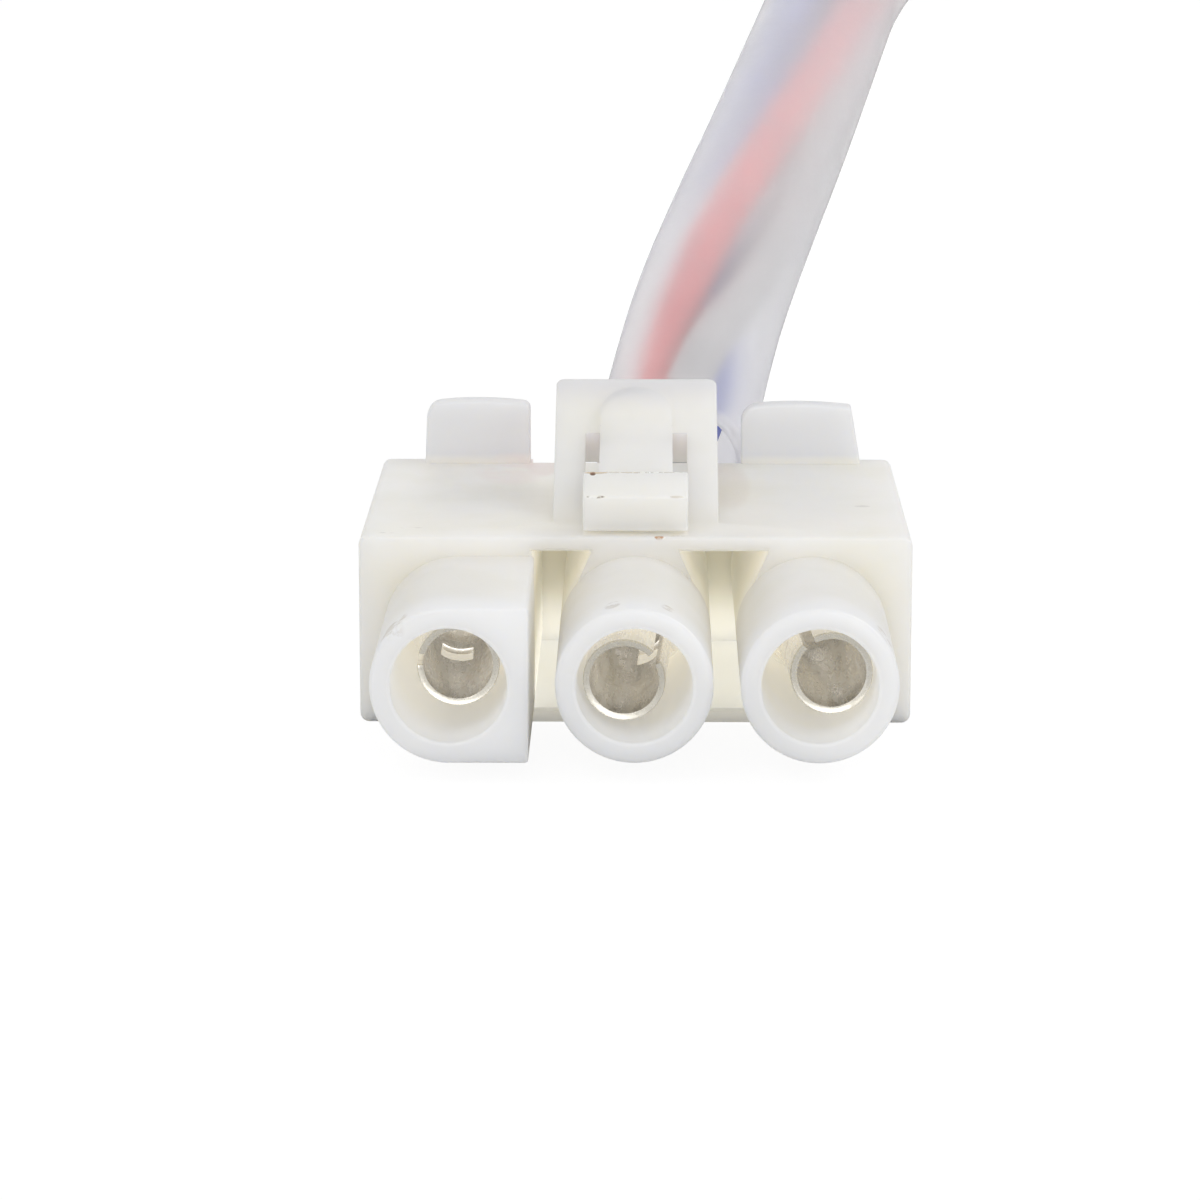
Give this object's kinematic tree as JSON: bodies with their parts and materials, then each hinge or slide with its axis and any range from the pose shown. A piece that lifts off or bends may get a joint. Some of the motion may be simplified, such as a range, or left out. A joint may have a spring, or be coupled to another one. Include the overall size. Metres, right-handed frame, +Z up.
{
  "type": "connector pigtail",
  "caption": "Pigtail with a natural nylon in-line socket housing, crimped socket contacts, a latch lever and insulated leads that leave through a frosted sleeve.",
  "frame": {"origin": "centre of the housing's underside", "axes": "+Y from the silos' mouths to the side where the leads leave, +X to the right as seen by someone who looks into the sockets, +Z up through the latch lever"},
  "size_m": [0.0834, 0.1895, 0.0275],
  "materials": {
    "natural_nylon": "milky, satin",
    "tin_plate": "tin plated",
    "red_insulation": "smooth",
    "grey_insulation": "smooth",
    "blue_insulation": "smooth",
    "copper_strands": "bare drawn wire",
    "frosted_sleeve": "frosted, translucent"
  },
  "bodies": {
    "root": {"housing": "natural_nylon", "socket_contact_1": "tin_plate", "socket_contact_2": "tin_plate", "socket_contact_3": "tin_plate", "lead_insulation_red": "red_insulation", "lead_insulation_grey": "grey_insulation", "lead_insulation_blue": "blue_insulation", "lead_strands_red": "copper_strands", "lead_strands_grey": "copper_strands", "lead_strands_blue": "copper_strands", "sleeve": "frosted_sleeve"}
  },
  "joints": []
}
